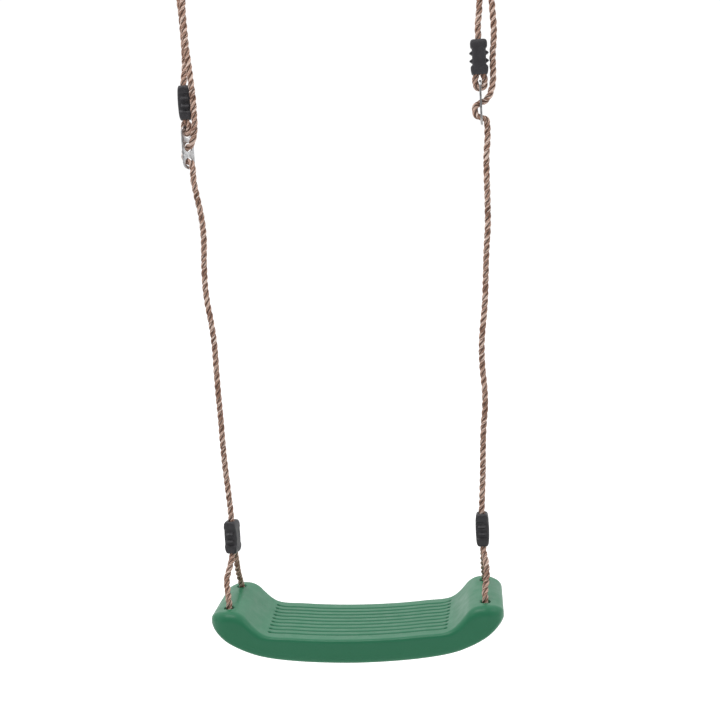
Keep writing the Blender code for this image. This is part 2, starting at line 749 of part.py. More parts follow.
def main_rope_points(side):
    """From below the adjuster plate to the lower clamp. Heights are above the seat's top."""
    middle = {
        "left": (
            (-0.2066, -0.0026, 0.6520),
            (-0.2026, 0.0, 0.6220),
            (-0.2012, 0.0, 0.5900),
            (-0.2032, 0.0, 0.5560),
            (-0.2040, 0.0, 0.5200),
            (-0.2022, 0.0, 0.4930),
            (-0.1988, 0.0, 0.4660),
            (-0.1961, 0.0, 0.4300),
            (-0.1959, 0.0, 0.3940),
            (-0.1954, 0.0, 0.3580),
            (-0.1943, 0.0, 0.3210),
            (-0.1938, 0.0, 0.2840),
            (-0.1927, 0.0, 0.2480),
            (-0.1905, 0.0, 0.2100),
            (-0.1890, 0.0, 0.1820),
        ),
        "right": (
            (0.2183, 0.0, 0.6900),
            (0.2173, 0.0, 0.6600),
            (0.2171, 0.0, 0.6250),
            (0.2160, 0.0, 0.5870),
            (0.2133, 0.0, 0.5600),
            (0.2106, 0.0, 0.5240),
            (0.2080, 0.0, 0.4840),
            (0.2050, 0.0, 0.4570),
            (0.2015, 0.0, 0.4300),
            (0.1998, 0.0, 0.4050),
            (0.2001, 0.0, 0.3780),
            (0.2018, 0.0, 0.3480),
            (0.2014, 0.0, 0.3230),
            (0.1983, 0.0, 0.2960),
            (0.1957, 0.0, 0.2600),
            (0.1943, 0.0, 0.2270),
            (0.1916, 0.0, 0.1880),
        ),
    }[side]
    clamp_top = LOWER_CLAMP_HEIGHT + CLAMP_HALF_HEIGHT + SEAT_TOP_Z
    start = [
        adjuster_place(side, (WEAVE_BOTTOM_OFFSET, 0.0, WEAVE_BOTTOM - 2 * GAP)),
        adjuster_place(side, (WEAVE_BOTTOM_OFFSET, 0.0, WEAVE_BOTTOM - WEAVE_LEAD)),
    ]
    x = LOWER_CLAMP_X[side]
    end = [(x, 0.0, clamp_top + ROPE_OUT_OF_CLAMP), (x, 0.0, clamp_top - ROPE_IN_CLAMP)]
    return [*start, *((px, py, h + SEAT_TOP_Z) for px, py, h in middle), *end]


def main():
    clear_scene()
    collection(PARTS)
    collection(CUTTERS)
    surfaces = {
        "plastic": material("green_plastic", (0.045, 0.235, 0.125), 0.42),
        "rope": material("brown_rope", (0.30, 0.17, 0.11), 0.85),
        "clamp": material("black_plastic", (0.022, 0.021, 0.023), 0.55),
        "steel": material("galvanised_steel", (0.62, 0.63, 0.64), 0.35, 1.0),
    }
    add_seat(surfaces["plastic"])
    clamp = clamp_mesh()
    plate = plate_mesh()
    for side in ("left", "right"):
        add_lower_clamp(side, clamp, surfaces["clamp"])
        add_adjuster(side, clamp, plate, surfaces)
        add_ring(side, surfaces["steel"])
        add_rope(f"{side}_bridle_rope", bridle_points(side), surfaces["rope"])
        add_rope(f"{side}_main_rope", main_rope_points(side), surfaces["rope"])
        add_rope(f"{side}_top_loop_rope", top_loop_points(side), surfaces["rope"])


main()
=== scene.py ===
"""Looks of the moulded swing seat: fine seat, three-strand ropes, clamps, plates and rings."""

import math

import bmesh
import bpy
import numpy as np
from mathutils import Matrix, Vector


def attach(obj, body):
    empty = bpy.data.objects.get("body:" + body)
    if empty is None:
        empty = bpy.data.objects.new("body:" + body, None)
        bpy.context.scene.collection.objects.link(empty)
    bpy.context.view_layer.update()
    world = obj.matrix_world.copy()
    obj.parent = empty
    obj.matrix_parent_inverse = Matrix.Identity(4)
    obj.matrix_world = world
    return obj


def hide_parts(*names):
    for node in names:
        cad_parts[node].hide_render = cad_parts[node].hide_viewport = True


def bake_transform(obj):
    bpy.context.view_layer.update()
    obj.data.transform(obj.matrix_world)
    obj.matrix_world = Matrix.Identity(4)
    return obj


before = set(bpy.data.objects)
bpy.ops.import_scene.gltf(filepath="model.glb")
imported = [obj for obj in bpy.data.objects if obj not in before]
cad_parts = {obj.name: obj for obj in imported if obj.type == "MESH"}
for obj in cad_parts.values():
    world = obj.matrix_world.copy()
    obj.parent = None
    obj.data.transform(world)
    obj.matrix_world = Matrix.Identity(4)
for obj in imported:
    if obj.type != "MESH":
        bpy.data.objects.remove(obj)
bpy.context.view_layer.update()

# ---------------------------------------------------------------- sizes shared with the frame
SEAT_TOP_Z = -1.035
GAP = 0.0003
ROPE_RADIUS = 0.00475
SEAT_HALF_LENGTH = 0.2165
SEAT_HALF_WIDTH = 0.084
SEAT_CORNER_RADIUS = 0.029
SEAT_TIP = 0.0004
SEAT_NOSE_HEIGHT = 0.0270
TOP_OUTLINE = (
    (0.0, 0.0),
    (0.060, 0.0016),
    (0.100, 0.0046),
    (0.128, 0.0068),
    (0.140, 0.0112),
    (0.150, 0.0192),
    (0.158, 0.0280),
    (0.166, 0.0368),
    (0.176, 0.0424),
    (0.190, 0.0440),
    (0.202, 0.0422),
    (0.2105, 0.0385),
    (0.2150, 0.0340),
    (SEAT_HALF_LENGTH, SEAT_NOSE_HEIGHT),
)
BOTTOM_OUTLINE = (
    (0.0, -0.0365),
    (0.060, -0.0345),
    (0.100, -0.0310),
    (0.130, -0.0265),
    (0.150, -0.0215),
    (0.170, -0.0135),
    (0.185, -0.0055),
    (0.197, 0.0028),
    (0.207, 0.0112),
    (0.2130, 0.0172),
    (0.2158, 0.0218),
    (SEAT_HALF_LENGTH, SEAT_NOSE_HEIGHT),
)
TOP_EDGE_RADIUS_MIDDLE = 0.005
TOP_EDGE_RADIUS_END = 0.014
BOTTOM_EDGE_RADIUS = 0.008
EDGE_BLEND_START = 0.120
EDGE_BLEND_END = 0.170
EDGE_SHARE = 0.42
GROOVE_COUNT = 9
GROOVE_PITCH = 0.0150
GROOVE_HALF_LENGTH = 0.1325
GROOVE_FLARE = 0.037
HOLE_X = 0.190
HOLE_Y = 0.0526
HOLE_RADIUS = 0.0068
CHANNEL_RADIUS = 0.0058
CHANNEL_FLOOR = -0.0024
CLAMP_HALF_HEIGHT = 0.0245
CLAMP_STRAND_OFFSET = 0.0053
ROPE_IN_CLAMP = 0.0070
ROPE_OUT_OF_CLAMP = 0.0020
LOWER_CLAMP_HEIGHT = 0.1385
LOWER_CLAMP_X = {"left": -0.1885, "right": 0.1900}
LOWER_CLAMP_TURN = {"left": math.radians(78.0), "right": math.radians(88.0)}
PLATE_THICKNESS = 0.003
PLATE_HALF_WIDTH = 0.0105
PLATE_HALF_LENGTH = 0.032
PLATE_HOLE_RADIUS = 0.0066
PLATE_HOLES = (0.020, 0.0, -0.021)
UPPER_CLAMP_OFFSET = 0.064
ADJUSTER_X = {"left": -0.2155, "right": 0.2132}
ADJUSTER_HEIGHT = {"left": 0.724, "right": 0.763}
ADJUSTER_TURN = {"left": math.radians(-38.0), "right": 0.0}
UPPER_CLAMP_TWIST = {"left": math.radians(-40.0), "right": 0.0}
TWIST_START = 0.0300
TWIST_END = 0.0395
WEAVE_TOP = 0.044
WEAVE_TOP_OFFSET = 0.0191
WEAVE_BOTTOM = -0.041
WEAVE_BOTTOM_OFFSET = 0.0077
WEAVE_LEAD = 0.0080
RING_RADIUS = 0.025
RING_BAR_RADIUS = 0.003
RING_X = {"left": -0.211, "right": 0.226}
BIGHT_RADIUS = ROPE_RADIUS + RING_BAR_RADIUS + GAP
BIGHT_STEPS = 6
SIDES = ("left", "right")


# ---------------------------------------------------------------- camera
CAMERA_PLACE = (0.1897, -1.8549, -0.3940)
CAMERA_YAW = math.radians(-5.219)
CAMERA_PITCH = math.radians(7.369)
CAMERA_ROLL = math.radians(3.077)


def add_camera():
    ahead = Vector(
        (
            math.sin(CAMERA_YAW) * math.cos(CAMERA_PITCH),
            math.cos(CAMERA_YAW) * math.cos(CAMERA_PITCH),
            -math.sin(CAMERA_PITCH),
        )
    )
    level = Vector((math.cos(CAMERA_YAW), -math.sin(CAMERA_YAW), 0.0))
    down = ahead.cross(level)
    right = level * math.cos(CAMERA_ROLL) + down * math.sin(CAMERA_ROLL)
    lower = down * math.cos(CAMERA_ROLL) - level * math.sin(CAMERA_ROLL)
    data = bpy.data.cameras.new("camera")
    data.sensor_width = 36.0
    data.lens = 63.5
    camera = bpy.data.objects.new("camera", data)
    bpy.context.scene.collection.objects.link(camera)
    turn = Matrix((right, -lower, -ahead)).transposed()
    camera.matrix_world = Matrix.Translation(CAMERA_PLACE) @ turn.to_4x4()
    bpy.context.scene.camera = camera


# ---------------------------------------------------------------- curves and frames


def smooth_route(points, per_span):
    """Points along the centripetal Catmull-Rom curve through the given points."""
    knots = [Vector(p) for p in points]
    before = knots[0] * 2 - knots[1]
    after = knots[-1] * 2 - knots[-2]
    knots = [before, *knots, after]
    route = []
    for i in range(1, len(knots) - 2):
        p0, p1, p2, p3 = knots[i - 1 : i + 3]
        t1 = math.sqrt((p1 - p0).length)
        t2 = t1 + math.sqrt((p2 - p1).length)
        t3 = t2 + math.sqrt((p3 - p2).length)
        for step in range(per_span):
            t = t1 + (t2 - t1) * step / per_span
            a1 = p0 * ((t1 - t) / t1) + p1 * (t / t1)
            a2 = p1 * ((t2 - t) / (t2 - t1)) + p2 * ((t - t1) / (t2 - t1))
            a3 = p2 * ((t3 - t) / (t3 - t2)) + p3 * ((t - t2) / (t3 - t2))
            b1 = a1 * ((t2 - t) / t2) + a2 * (t / t2)
            b2 = a2 * ((t3 - t) / (t3 - t1)) + a3 * ((t - t1) / (t3 - t1))
            route.append(b1 * ((t2 - t) / (t2 - t1)) + b2 * ((t - t1) / (t2 - t1)))
    route.append(knots[-2])
    return route


def even_route(points, spacing):
    """The smooth route through the points, as an array of evenly spaced places."""
    dense = np.array([tuple(p) for p in smooth_route(points, 10)])
    steps = np.linalg.norm(np.diff(dense, axis=0), axis=1)
    along = np.concatenate(([0.0], np.cumsum(steps)))
    count = max(8, int(round(along[-1] / spacing)))
    wanted = np.linspace(0.0, along[-1], count + 1)
    places = np.stack([np.interp(wanted, along, dense[:, axis]) for axis in range(3)], axis=1)
    return places, wanted


def carried_frames(places):
    """Tangent, normal and binormal at each place, with the normal carried along without twist."""
    tangents = np.gradient(places, axis=0)
    tangents /= np.linalg.norm(tangents, axis=1)[:, None]
    seed = np.array((0.0, 1.0, 0.0)) if abs(tangents[0][1]) < 0.9 else np.array((1.0, 0.0, 0.0))
    normal = seed - tangents[0] * (seed @ tangents[0])
    normals = []
    for tangent in tangents:
        normal = normal - tangent * (normal @ tangent)
        normal = normal / np.linalg.norm(normal)
        normals.append(normal)
    normals = np.array(normals)
    return tangents, normals, np.cross(tangents, normals)


def ease(value, start, end):
    share = min(1.0, max(0.0, (value - start) / (end - start)))
    return share * share * (3 - 2 * share)


def add_piece(name, mesh, surface):
    piece = bpy.data.objects.new(name, mesh)
    bpy.context.scene.collection.objects.link(piece)
    piece.data.materials.clear()
    piece.data.materials.append(surface)
    return piece


# ---------------------------------------------------------------- rope routes


def lifted(points):
    return [(x, y, z + SEAT_TOP_Z) for x, y, z in points]


def adjuster_place(side, point):
    centre = Vector((ADJUSTER_X[side], 0.0, ADJUSTER_HEIGHT[side] + SEAT_TOP_Z))
    return centre + Matrix.Rotation(ADJUSTER_TURN[side], 3, "Z") @ Vector(point)


def bridle_points(side):
    x = LOWER_CLAMP_X[side]
    turn = LOWER_CLAMP_TURN[side]
    across = CLAMP_STRAND_OFFSET * math.cos(turn)
    along = CLAMP_STRAND_OFFSET * math.sin(turn)
    socket = LOWER_CLAMP_HEIGHT - CLAMP_HALF_HEIGHT
    front = {
        "left": (
            (-0.1917, -0.0170, 0.0970),
            (-0.1958, -0.0275, 0.0800),
            (-0.1932, -0.0400, 0.0635),
            (-0.1902, -0.0505, 0.0490),
        ),
        "right": (
            (0.1928, -0.0190, 0.0960),
            (0.1936, -0.0310, 0.0770),
            (0.1902, -0.0440, 0.0590),
            (0.1898, -0.0512, 0.0480),
        ),
    }[side]
    back = {
        "left": (
            (-0.1886, 0.0180, 0.0950),
            (-0.1900, 0.0320, 0.0745),
            (-0.1902, 0.0450, 0.0570),
            (-0.1900, 0.0510, 0.0480),
        ),
        "right": (
            (0.1895, 0.0180, 0.0950),
            (0.1893, 0.0320, 0.0745),
            (0.1897, 0.0450, 0.0570),
            (0.1900, 0.0510, 0.0480),
        ),
    }[side]
    hole_x = math.copysign(HOLE_X, x)
    half_loop = (
        (HOLE_Y, 0.0380),
        (HOLE_Y + 0.0003, 0.0250),
        (HOLE_Y, 0.0120),
        (HOLE_Y - 0.0012, 0.0050),
        (HOLE_Y - 0.0050, -0.0002),
        (HOLE_Y - 0.0110, -0.0020),
        (HOLE_Y - 0.0300, CHANNEL_FLOOR),
    )
    under_front = [(hole_x, -y, h) for y, h in half_loop]
    under_back = [(hole_x, y, h) for y, h in reversed(half_loop)]
    strand = ((1.0, 0.0070), (1.0, 0.0010), (1.18, -0.0050))
    start = [(x - across * share, -along * share, socket + h) for share, h in strand]
    end = [(x + across * share, along * share, socket + h) for share, h in reversed(strand)]
    middle = (hole_x, 0.0, CHANNEL_FLOOR)
    return lifted([*start, *front, *under_front, middle, *under_back, *reversed(back), *end])


WEAVE_POINTS = (
    (WEAVE_TOP_OFFSET, 0.0, WEAVE_TOP),
    (0.0189, 0.0, 0.0360),
    (0.0180, 0.0, 0.0270),
    (0.0158, 0.0, 0.0175),
    (0.0118, 0.0, 0.0085),
    (0.0062, 0.0, 0.0026),
    (0.0, 0.0, 0.0),
    (-0.0058, 0.0, -0.0026),
    (-0.0092, 0.0, -0.0105),
    (-0.0058, 0.0, -0.0184),
    (0.0, 0.0, -0.0210),
    (0.0048, 0.0, -0.0224),
    (0.0074, 0.0, -0.0268),
    (0.0079, 0.0, -0.0335),
    (WEAVE_BOTTOM_OFFSET, 0.0, WEAVE_BOTTOM),
)
EYE_POINTS = (
    (-CLAMP_STRAND_OFFSET, 0.0, 0.0465),
    (-CLAMP_STRAND_OFFSET, 0.0, 0.0395),
    (-0.0064, 0.0, 0.0340),
    (-0.0067, 0.0, 0.0275),
    (-0.0048, 0.0, 0.0223),
    (0.0, 0.0, 0.0200),
    (0.0048, 0.0, 0.0223),
    (0.0067, 0.0, 0.0275),
    (0.0064, 0.0, 0.0340),
    (CLAMP_STRAND_OFFSET, 0.0, 0.0395),
    (CLAMP_STRAND_OFFSET, 0.0, 0.0465),
)


def eye_points(side):
    """The rope eye through the plate's top hole, turned to meet the upper clamp."""
    points = []
    for point in EYE_POINTS:
        turn = UPPER_CLAMP_TWIST[side] * ease(point[2], TWIST_START, TWIST_END)
        points.append(adjuster_place(side, Matrix.Rotation(turn, 3, "Z") @ Vector(point)))
    return points


def top_loop_points(side):
    """Up from the clamp, over the ring's bar and down to the plate."""
    x = RING_X[side]
    bight = []
    for angle in np.linspace(math.pi, 0.0, BIGHT_STEPS + 1):
        height = BIGHT_RADIUS * math.sin(angle) - RING_RADIUS
        bight.append((x + BIGHT_RADIUS * math.cos(angle), 0.0, height))
    legs = {
        "left": (
            (
                (-0.2130, 0.0050, 0.8380),
                (-0.2122, 0.0068, 0.8640),
                (-0.2126, 0.0078, 0.8900),
                (-0.2134, 0.0083, 0.9160),
                (-0.2157, 0.0083, 0.9440),
                (-0.2184, 0.0058, 0.9720),
                (-0.2194, 0.0015, 0.9950),
            ),
            (
                (-0.2026, -0.0015, 0.9950),
                (-0.2036, -0.0058, 0.9720),
                (-0.2060, -0.0083, 0.9440),
                (-0.2073, -0.0090, 0.9160),
                (-0.2066, -0.0098, 0.8900),
                (-0.2056, -0.0110, 0.8640),
                (-0.2033, -0.0122, 0.8380),
                (-0.2014, -0.0124, 0.8100),
                (-0.2005, -0.0118, 0.7900),
            ),
        ),
        "right": (
            (
                (0.2134, 0.0, 0.8720),
                (0.2160, 0.0, 0.8920),
                (0.2172, 0.0, 0.9150),
                (0.2177, 0.0, 0.9500),
                (0.2177, 0.0, 0.9850),
            ),
            (
                (0.2343, 0.0, 0.9850),
                (0.2341, 0.0, 0.9500),
                (0.2340, 0.0, 0.9150),
                (0.2346, 0.0, 0.8920),
                (0.2356, 0.0, 0.8700),
                (0.2347, 0.0, 0.8490),
                (0.2327, 0.0, 0.8300),
            ),
        ),
    }[side]
    clamp_top = UPPER_CLAMP_OFFSET + CLAMP_HALF_HEIGHT
    start = [
        adjuster_place(side, (0.0, 0.0, clamp_top - ROPE_IN_CLAMP)),
        adjuster_place(side, (0.0, 0.0, clamp_top + ROPE_OUT_OF_CLAMP)),
    ]
    end = [adjuster_place(side, (WEAVE_TOP_OFFSET, 0.0, WEAVE_TOP + WEAVE_LEAD))]
    return [*start, *lifted(legs[0]), *bight, *lifted(legs[1]), *end]


def main_rope_points(side):
    """From below the adjuster plate to the lower clamp."""
    middle = {
        "left": (
            (-0.2066, -0.0026, 0.6520),
            (-0.2026, 0.0, 0.6220),
            (-0.2012, 0.0, 0.5900),
            (-0.2032, 0.0, 0.5560),
            (-0.2040, 0.0, 0.5200),
            (-0.2022, 0.0, 0.4930),
            (-0.1988, 0.0, 0.4660),
            (-0.1961, 0.0, 0.4300),
            (-0.1959, 0.0, 0.3940),
            (-0.1954, 0.0, 0.3580),
            (-0.1943, 0.0, 0.3210),
            (-0.1938, 0.0, 0.2840),
            (-0.1927, 0.0, 0.2480),
            (-0.1905, 0.0, 0.2100),
            (-0.1890, 0.0, 0.1820),
        ),
        "right": (
            (0.2183, 0.0, 0.6900),
            (0.2173, 0.0, 0.6600),
            (0.2171, 0.0, 0.6250),
            (0.2160, 0.0, 0.5870),
            (0.2133, 0.0, 0.5600),
            (0.2106, 0.0, 0.5240),
            (0.2080, 0.0, 0.4840),
            (0.2050, 0.0, 0.4570),
            (0.2015, 0.0, 0.4300),
            (0.1998, 0.0, 0.4050),
            (0.2001, 0.0, 0.3780),
            (0.2018, 0.0, 0.3480),
            (0.2014, 0.0, 0.3230),
            (0.1983, 0.0, 0.2960),
            (0.1957, 0.0, 0.2600),
            (0.1943, 0.0, 0.2270),
            (0.1916, 0.0, 0.1880),
        ),
    }[side]
    clamp_top = LOWER_CLAMP_HEIGHT + CLAMP_HALF_HEIGHT + SEAT_TOP_Z
    start = [adjuster_place(side, (WEAVE_BOTTOM_OFFSET, 0.0, WEAVE_BOTTOM - WEAVE_LEAD))]
    x = LOWER_CLAMP_X[side]
    end = [(x, 0.0, clamp_top + ROPE_OUT_OF_CLAMP), (x, 0.0, clamp_top - ROPE_IN_CLAMP)]
    return [*start, *lifted(middle), *end]


# ---------------------------------------------------------------- rope meshes
LAY_LENGTH = 0.034
STRAND_COUNT = 3
STRAND_OFFSET = 0.00245
STRAND_RADIUS = 0.00230
STRAND_SIDES = 12
RING_SPACING = 0.0013
UV_METRES = 0.01  # one unit of the map along a rope
STRAND_MAP_SHIFT = 17.0  # so that no two strands look alike
CAP_MAP_RADIUS = 0.2


def rope_mesh(name, places, along, frames):
    """Three strands laid up right-handed round the line of places."""
    tangents, normals, binormals = frames
    count = len(places)
    vertices = []
    faces = []
    maps = []
    slope = 2 * math.pi * STRAND_OFFSET / LAY_LENGTH
    for strand in range(STRAND_COUNT):
        turn = 2 * math.pi * (along / LAY_LENGTH + strand / STRAND_COUNT)
        cosine = np.cos(turn)[:, None]
        sine = np.sin(turn)[:, None]
        out = normals * cosine + binormals * sine
        around = binormals * cosine - normals * sine
        ahead = tangents + around * slope
        ahead /= np.linalg.norm(ahead, axis=1)[:, None]
        side = np.cross(ahead, out)
        base = strand * count * STRAND_SIDES
        for j in range(STRAND_SIDES):
            angle = 2 * math.pi * j / STRAND_SIDES
            ring = places + out * (STRAND_OFFSET - STRAND_RADIUS * math.cos(angle))
            vertices.append(ring + side * (STRAND_RADIUS * math.sin(angle)))
        for j in range(STRAND_SIDES):
            k = (j + 1) % STRAND_SIDES
            for i in range(count - 1):
                faces.append(
                    (
                        base + j * count + i,
                        base + j * count + i + 1,
                        base + k * count + i + 1,
                        base + k * count + i,
                    )
                )
                v0 = along[i] / UV_METRES + strand * STRAND_MAP_SHIFT
                v1 = along[i + 1] / UV_METRES + strand * STRAND_MAP_SHIFT
                u0 = j / STRAND_SIDES
                u1 = (j + 1) / STRAND_SIDES
                maps.extend(((u0, v0), (u0, v1), (u1, v1), (u1, v0)))
        for i in (0, count - 1):
            cap = [base + j * count + i for j in range(STRAND_SIDES)]
            faces.append(cap if i == 0 else cap[::-1])
            v = along[i] / UV_METRES
            maps.extend(
                (0.5 + CAP_MAP_RADIUS * math.cos(j), v + CAP_MAP_RADIUS * math.sin(j))
                for j in range(STRAND_SIDES)
            )
    mesh = bpy.data.meshes.new(name)
    mesh.from_pydata(np.concatenate(vertices).tolist(), [], faces)
    layer = mesh.uv_layers.new(name="strand")
    layer.data.foreach_set("uv", np.array(maps, float).ravel())
    mesh.shade_smooth()
    mesh.update()
    return mesh


def cut_index(places, target):
    return int(np.argmin(np.linalg.norm(places - np.array(target), axis=1)))


def add_rope(name, places, along, frames, surface):
    return add_piece(name, rope_mesh(name, places, along, frames), surface)


def add_ropes(surface):
    for side in SIDES:
        adjuster = f"{side}_adjuster"
        weave = [adjuster_place(side, p) for p in WEAVE_POINTS]
        whole = [*top_loop_points(side), *weave, *main_rope_points(side)]
        places, along = even_route(whole, RING_SPACING)
        frames = carried_frames(places)
        middle = cut_index(places, adjuster_place(side, (0.0, 0.0, 0.0)))
        upper = slice(0, middle + 1)
        lower = slice(middle, len(places))
        turned = [f[upper] for f in frames]
        loop = add_rope(f"{side}_loop_strands", places[upper], along[upper], turned, surface)
        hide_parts(f"{side}_top_loop_rope")
        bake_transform(loop)
        turned = [f[lower] for f in frames]
        main = add_rope(f"{side}_main_strands", places[lower], along[lower], turned, surface)
        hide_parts(f"{side}_adjuster_weave", f"{side}_main_rope")
        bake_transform(main)
        places, along = even_route(eye_points(side), RING_SPACING)
        eye = add_rope(f"{side}_eye_strands", places, along, carried_frames(places), surface)
        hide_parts(f"{side}_adjuster_eye")
        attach(eye, adjuster)
        places, along = even_route(bridle_points(side), RING_SPACING)
        bridle = add_rope(f"{side}_bridle_strands", places, along, carried_frames(places), surface)
        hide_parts(f"{side}_bridle_rope")
        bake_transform(bridle)


# ---------------------------------------------------------------- seat
GROOVE_HALF_WIDTH = 0.0034
GROOVE_DEPTH = 0.0015
GROOVE_END_EASE = 0.0030
GROOVE_FLAT = 0.0005  # half width of a groove's flat floor
DIMPLE_FLAT = 0.0010
DIMPLE_RADIUS = 0.0038
DIMPLE_DEPTH = 0.0016
TOP_MARGIN = 0.003


def outline_curve(points):
    """A dense smooth copy of a half outline, level in the middle."""
    mirrored = [(-points[1][0], points[1][1]), *points]
    steps = 24
    route = smooth_route([(x, z, 0.0) for x, z in mirrored], steps)[steps:]
    return np.array([p.x for p in route]), np.array([p.y for p in route])


TOP_CURVE = outline_curve(TOP_OUTLINE)
BOTTOM_CURVE = outline_curve(BOTTOM_OUTLINE)


def smooth_step(values, start, end):
    share = np.clip((values - start) / (end - start), 0.0, 1.0)
    return share * share * (3 - 2 * share)


def groove_centres():
    return [(i - (GROOVE_COUNT - 1) / 2) * GROOVE_PITCH for i in range(GROOVE_COUNT)]


def groove_drop(x, y):
    """How far the grooves and their end dimples lower the top at each point."""
    drop = np.zeros_like(x)
    for centre in groove_centres():
        reach = GROOVE_HALF_LENGTH + GROOVE_FLARE * centre
        across = 1.0 - smooth_step(np.abs(y - centre), GROOVE_FLAT, GROOVE_HALF_WIDTH)
        along = 1.0 - smooth_step(np.abs(x), reach, reach + GROOVE_END_EASE)
        groove = GROOVE_DEPTH * across * along
        away = np.hypot(np.abs(x) - reach, y - centre)
        dimple = (GROOVE_DEPTH + DIMPLE_DEPTH) * (1.0 - smooth_step(away, DIMPLE_FLAT, DIMPLE_RADIUS))
        drop = np.maximum(drop, np.maximum(groove, dimple))
    return drop


def seat_stations():
    """Places along X, closer together at the groove ends, on the slopes and at the tips."""
    spans = (
        (0.0, 0.118, 56),
        (0.118, 0.1420, 44),
        (0.1420, 0.1700, 30),
        (0.1700, 0.2050, 28),
    )
    half = [0.0]
    for low, high, steps in spans:
        half.extend(low + (high - low) * (i + 1) / steps for i in range(steps))
    tip = SEAT_HALF_LENGTH - SEAT_TIP
    reach = tip - 0.2050
    half.extend(0.2050 + reach * math.sin(math.pi / 2 * (i + 1) / 18) for i in range(18))
    return [-x for x in reversed(half[1:])] + half


def top_columns():
    """Places across the grooved zone, closer together at the groove walls."""
    marks = (0.0, 0.0006, 0.0012, 0.0018, 0.0024, 0.0030, 0.0038, 0.0052)
    places = []
    for centre in groove_centres():
        places.extend([centre - m for m in marks[1:]] + [centre] + [centre + m for m in marks[1:]])
    return sorted(places)


def seat_mesh():
    columns = top_columns()
    outer_steps = 7
    wall_steps = 10
    bottom_steps = 44
    arc_steps = 7
    rings = []
    for x in seat_stations():
        reach = abs(x)
        top = float(np.interp(reach, *TOP_CURVE))
        bottom = float(np.interp(reach, *BOTTOM_CURVE))
        corner_start = SEAT_HALF_LENGTH - SEAT_CORNER_RADIUS
        bite = SEAT_CORNER_RADIUS - math.sqrt(SEAT_CORNER_RADIUS**2 - max(0.0, reach - corner_start) ** 2)
        half_width = SEAT_HALF_WIDTH - bite
        share = ease(reach, EDGE_BLEND_START, EDGE_BLEND_END)
        top_radius = TOP_EDGE_RADIUS_MIDDLE + share * (TOP_EDGE_RADIUS_END - TOP_EDGE_RADIUS_MIDDLE)
        limit = EDGE_SHARE * (top - bottom)
        top_radius = min(top_radius, limit)
        bottom_radius = min(BOTTOM_EDGE_RADIUS, limit)
        flat = half_width - top_radius
        squeeze = min(1.0, (flat - TOP_MARGIN) / columns[-1])
        edge = columns[-1] * squeeze
        ring = []
        for step in range(outer_steps):
            ring.append((-flat + (flat - edge) * step / outer_steps, top))
        ring.extend((y * squeeze, top) for y in columns)
        for step in range(1, outer_steps + 1):
            ring.append((edge + (flat - edge) * step / outer_steps, top))
        for step in range(1, arc_steps + 1):
            angle = math.pi / 2 * (1 - step / arc_steps)
            rise = top - top_radius + top_radius * math.sin(angle)
            ring.append((flat + top_radius * math.cos(angle), rise))
        high = top - top_radius
        low = bottom + bottom_radius
        ring.extend((half_width, high + (low - high) * step / wall_steps) for step in range(1, wall_steps + 1))
        under = half_width - bottom_radius
        for step in range(1, arc_steps + 1):
            angle = math.pi / 2 * step / arc_steps
            ring.append((under + bottom_radius * math.cos(angle), low - bottom_radius * math.sin(angle)))
        ring.extend((under - 2 * under * step / bottom_steps, bottom) for step in range(1, bottom_steps + 1))
        for step in range(1, arc_steps + 1):
            angle = math.pi / 2 * (1 - step / arc_steps)
            ring.append((-under - bottom_radius * math.cos(angle), low - bottom_radius * math.sin(angle)))
        ring.extend((-half_width, low + (high - low) * step / wall_steps) for step in range(1, wall_steps + 1))
        for step in range(1, arc_steps):
            angle = math.pi / 2 * step / arc_steps
            ring.append((-flat - top_radius * math.cos(angle), high + top_radius * math.sin(angle)))
        rings.append([(x, y, z) for y, z in ring])
    points = np.array(rings)
    top_count = 2 * outer_steps + len(columns)
    drop = np.zeros(points.shape[:2])
    drop[:, :top_count] = groove_drop(points[:, :top_count, 0], points[:, :top_count, 1])
    points[:, :, 2] -= drop
    count = points.shape[1]
    faces = []
    for i in range(len(rings) - 1):
        for j in range(count):
            k = (j + 1) % count
            faces.append((i * count + j, i * count + k, (i + 1) * count + k, (i + 1) * count + j))
    faces.append(tuple(range(count))[::-1])
    faces.append(tuple(range((len(rings) - 1) * count, len(rings) * count)))
    mesh = bpy.data.meshes.new("seat")
    mesh.from_pydata(points.reshape(-1, 3).tolist(), [], faces)
    # Each point's groove depth share, kept for the painted shade in the grooves and dimples.
    groove_shade_depth = mesh.attributes.new("groove_shade_depth", "FLOAT", "POINT")
    groove_shade_depth.data.foreach_set("value", (drop / GROOVE_DEPTH).astype(np.float32).ravel())
    flip = bmesh.new()
    flip.from_mesh(mesh)
    bmesh.ops.recalc_face_normals(flip, faces=flip.faces)
    flip.to_mesh(mesh)
    flip.free()
    return mesh


def turned_cutter(name, x, y, profile, steps=48):
    """An upright closed turned body through (height, radius) pairs, bottom first."""
    shape = bmesh.new()
    rings = []
    for height, radius in profile:
        ring = []
        for i in range(steps):
            angle = 2 * math.pi * i / steps
            ring.append(shape.verts.new((x + radius * math.cos(angle), y + radius * math.sin(angle), height)))
        rings.append(ring)
    for first, second in zip(rings, rings[1:]):
        for i in range(steps):
            j = (i + 1) % steps
            shape.faces.new((first[i], first[j], second[j], second[i]))
    shape.faces.new(rings[0][::-1])
    shape.faces.new(rings[-1])
    bmesh.ops.recalc_face_normals(shape, faces=shape.faces)
    mesh = bpy.data.meshes.new(name)
    shape.to_mesh(mesh)
    shape.free()
    made = bpy.data.objects.new(name, mesh)
    bpy.context.scene.collection.objects.link(made)
    return made


